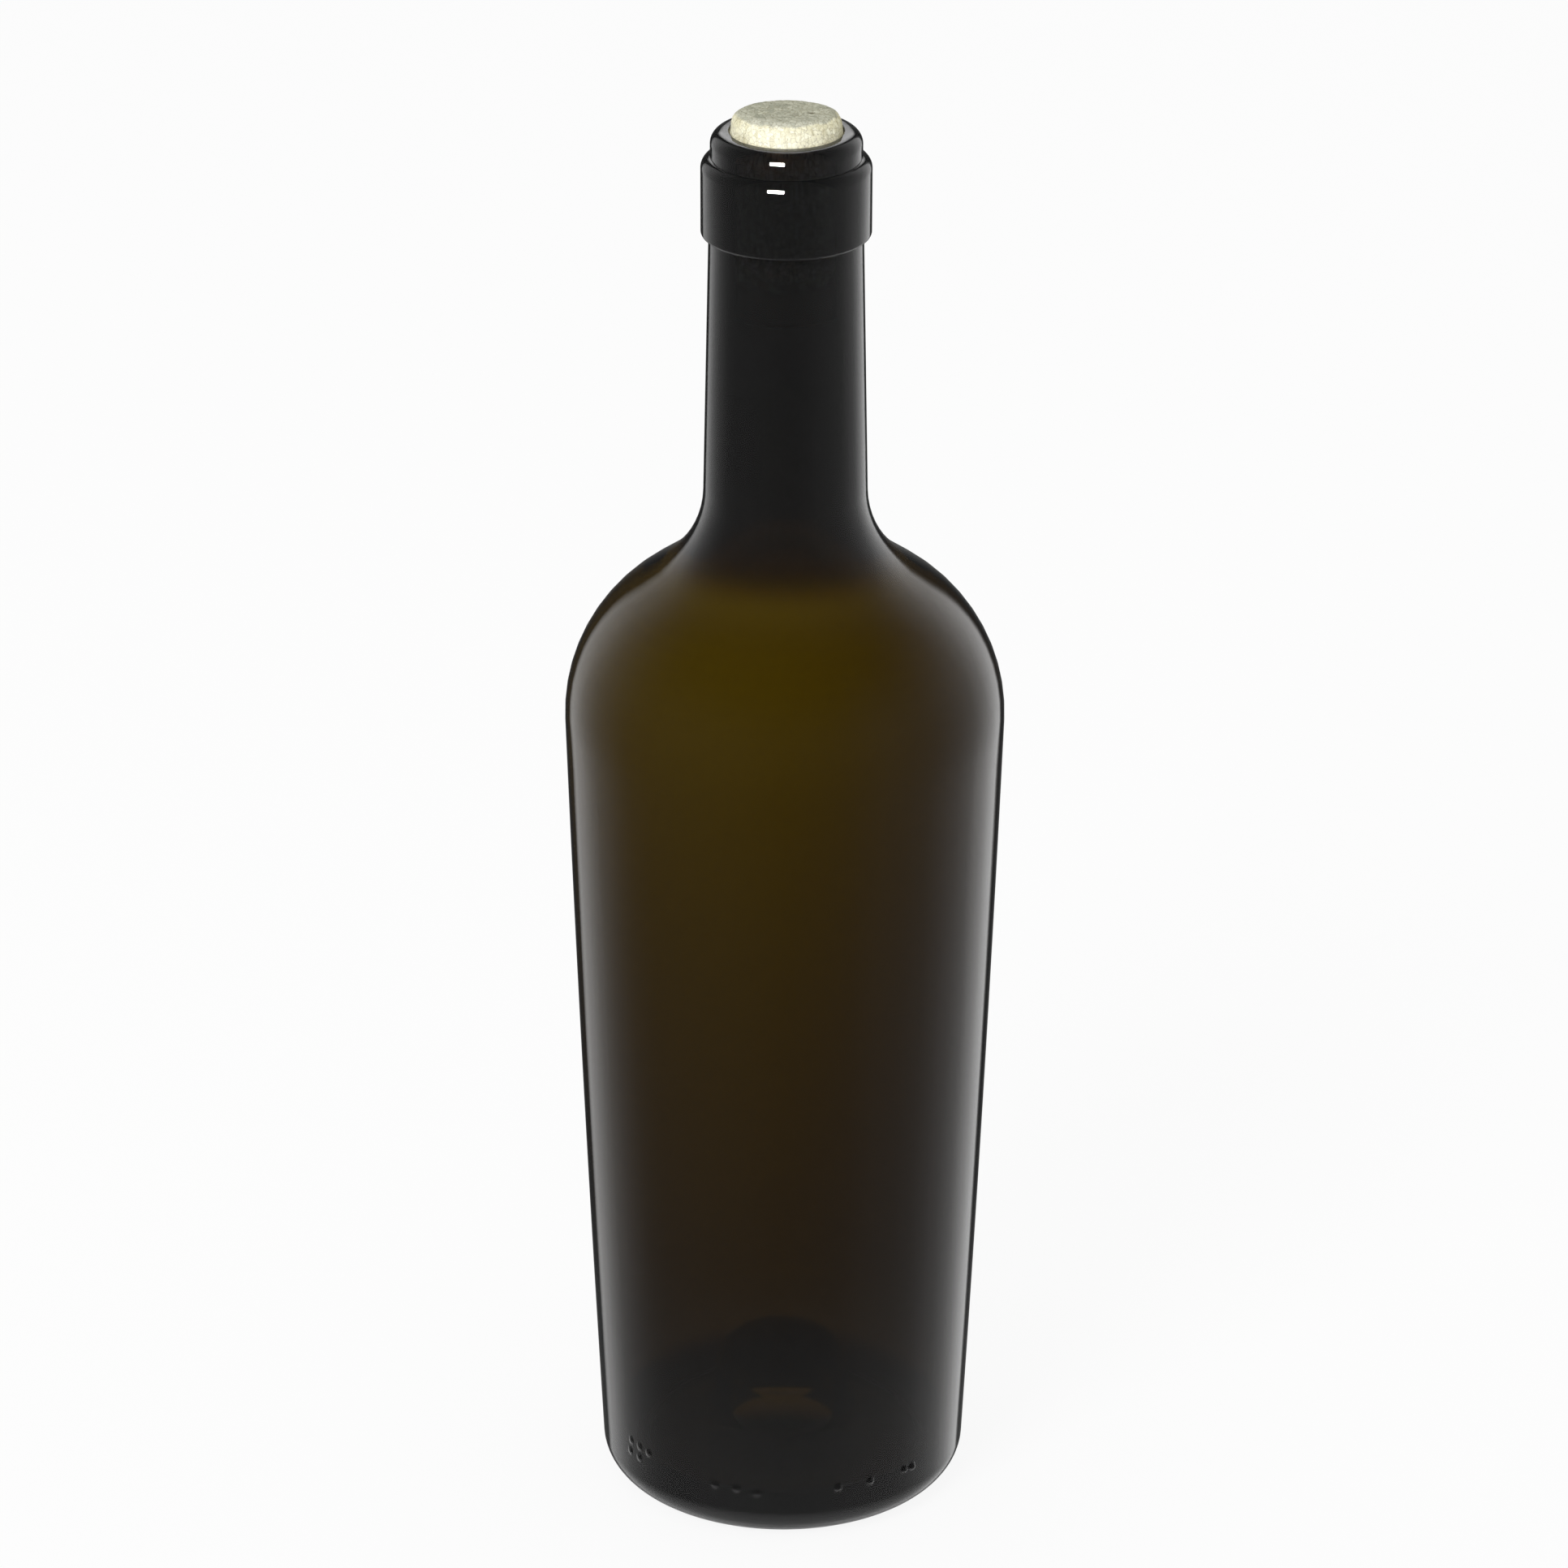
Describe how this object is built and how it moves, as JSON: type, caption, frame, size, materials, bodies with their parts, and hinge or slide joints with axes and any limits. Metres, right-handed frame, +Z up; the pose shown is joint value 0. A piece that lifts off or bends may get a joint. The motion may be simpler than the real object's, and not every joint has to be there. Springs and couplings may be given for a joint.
{
  "type": "wine bottle",
  "caption": "Tapered dark olive glass wine bottle with a flat band under its lip, a punt under its base and a worn cork pushed into its mouth.",
  "frame": {"origin": "centre of the ring the bottle stands on, at table level", "axes": "+Z up along the bottle's axis, from the base to the mouth; -Y is the side where the slanted top of the cork stands highest, and X is level across it"},
  "size_m": [0.0834, 0.0834, 0.2816],
  "materials": {
    "bottle_glass": "gloss",
    "cork": "matte"
  },
  "bodies": {
    "root": {"bottle": "bottle_glass", "cork": "cork"}
  },
  "joints": []
}
